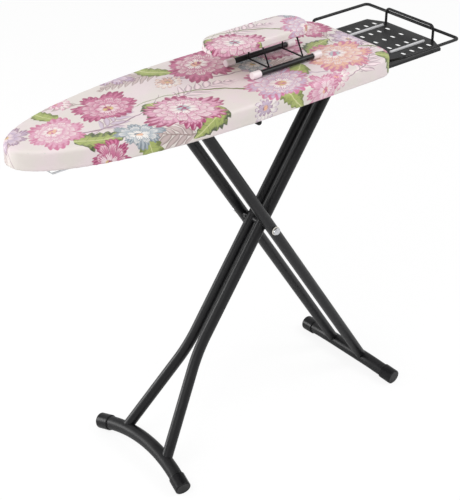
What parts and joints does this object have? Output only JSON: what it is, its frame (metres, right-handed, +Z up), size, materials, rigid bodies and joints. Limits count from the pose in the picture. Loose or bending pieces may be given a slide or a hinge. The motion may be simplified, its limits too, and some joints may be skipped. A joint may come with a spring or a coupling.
{
  "type": "ironing board",
  "caption": "Folding ironing board with crossed tube legs, printed cover, wire iron rest and a small sleeve board on a wire stand.",
  "frame": {"origin": "on the floor, under the middle of the object's length and width", "axes": "+X from the nose to the tail with the iron rest, +Y to the far side, +Z up"},
  "size_m": [1.0742, 0.3284, 0.959],
  "materials": {
    "printed_cotton": "woven cotton, printed",
    "felt": "needled felt",
    "cord": "braided cord",
    "black_steel": "satin black powder coat",
    "bright_steel": "zinc plated",
    "spring_steel": "oiled spring steel",
    "black_plastic": "moulded, fairly glossy",
    "white_plastic": "moulded, fairly glossy",
    "nylon": "natural nylon",
    "grey_silicone": "heat resistant silicone",
    "plywood": "raw plywood"
  },
  "bodies": {
    "board": {"deck_sheet": "black_steel", "rim": "black_steel", "felt_pad": "felt", "cover": "printed_cotton", "drawcord": "cord", "rack": "bright_steel", "rack_rivets": "bright_steel", "latch_pin": "bright_steel", "hinge_bracket": "black_steel", "hinge_rivets": "bright_steel", "hinge_pin": "bright_steel", "hinge_washers": "nylon", "rest_frame": "black_steel", "rest_tray": "black_steel", "heat_strips": "grey_silicone", "guard_loop": "black_steel", "rest_block_near": "black_plastic", "rest_block_far": "black_plastic", "rest_screws": "bright_steel", "latch_spring": "spring_steel"},
    "inner_leg": {"inner_tube_near": "black_steel", "inner_tube_far": "black_steel", "inner_tube_plugs": "black_plastic", "hinge_barrel": "black_steel", "pivot_barrel": "black_steel", "pivot_bolt": "bright_steel", "pivot_nut": "bright_steel", "pivot_washers": "nylon", "pivot_bushes": "black_plastic", "inner_foot_bar": "black_steel", "inner_foot_cap_near": "black_plastic", "inner_foot_cap_far": "black_plastic"},
    "outer_leg": {"outer_tube_near": "black_steel", "outer_tube_far": "black_steel", "outer_tube_plugs": "black_plastic", "slide_rod": "bright_steel", "slide_glides": "nylon", "outer_foot_bar": "black_steel", "outer_foot_cap_near": "black_plastic", "outer_foot_cap_far": "black_plastic"},
    "lock_lever": {"latch_blade": "bright_steel", "lever_arm": "bright_steel", "lever_grip": "black_plastic"},
    "stand_feet": {"stand_tube_near": "black_steel", "stand_tube_far": "black_steel", "stand_caps_near": "white_plastic", "stand_caps_far": "white_plastic"},
    "stand_wire_front": {"stand_wire_front": "black_steel"},
    "stand_wire_rear": {"stand_wire_rear": "black_steel"},
    "sleeve_board": {"sleeve_deck": "plywood", "sleeve_felt": "felt", "sleeve_cover": "printed_cotton", "wire_clips": "black_steel", "clip_screws": "bright_steel"}
  },
  "joints": [
    {"name": "leg_fold", "type": "hinge", "parent": "board", "child": "inner_leg", "pos_m": [0.2921, 0, 0.819], "axis": [0, 1, 0], "range_deg": [0, 52.2]},
    {"name": "leg_cross", "type": "hinge", "parent": "inner_leg", "child": "outer_leg", "pos_m": [0.07467, 0, 0.5062], "axis": [0, 1, 0], "range_deg": [-106.3, 0]},
    {"name": "lock_release", "type": "hinge", "parent": "board", "child": "lock_lever", "pos_m": [-0.0831, 0, 0.836], "axis": [0, -1, 0], "range_deg": [0, 5.5], "stiffness_Nm_per_rad": 1.8, "springref_deg": -8.59, "deforming": ["latch_spring"]},
    {"name": "stand_lift", "type": "slide", "parent": "board", "child": "stand_feet", "axis": [0, 0, 1], "range_m": [0, 0.25]},
    {"name": "stand_fold", "type": "hinge", "parent": "stand_feet", "child": "stand_wire_front", "pos_m": [0.0693, -0.0075, 0.8853], "axis": [0, 1, 0], "range_deg": [0, 93]},
    {"name": "stand_fold_rear", "type": "hinge", "parent": "stand_feet", "child": "stand_wire_rear", "pos_m": [0.1629, -0.0075, 0.8853], "axis": [0, 1, 0], "range_deg": [0, 93]},
    {"name": "sleeve_level", "type": "hinge", "parent": "stand_wire_front", "child": "sleeve_board", "pos_m": [0.05629, -0.0075, 0.94167], "axis": [0, 1, 0], "range_deg": [-93, 0]}
  ],
  "couplings": [
    {"joint": "leg_cross", "follows": "leg_fold", "ratio": -2.0366},
    {"joint": "stand_fold_rear", "follows": "stand_fold", "ratio": 1},
    {"joint": "sleeve_level", "follows": "stand_fold", "ratio": -1}
  ]
}
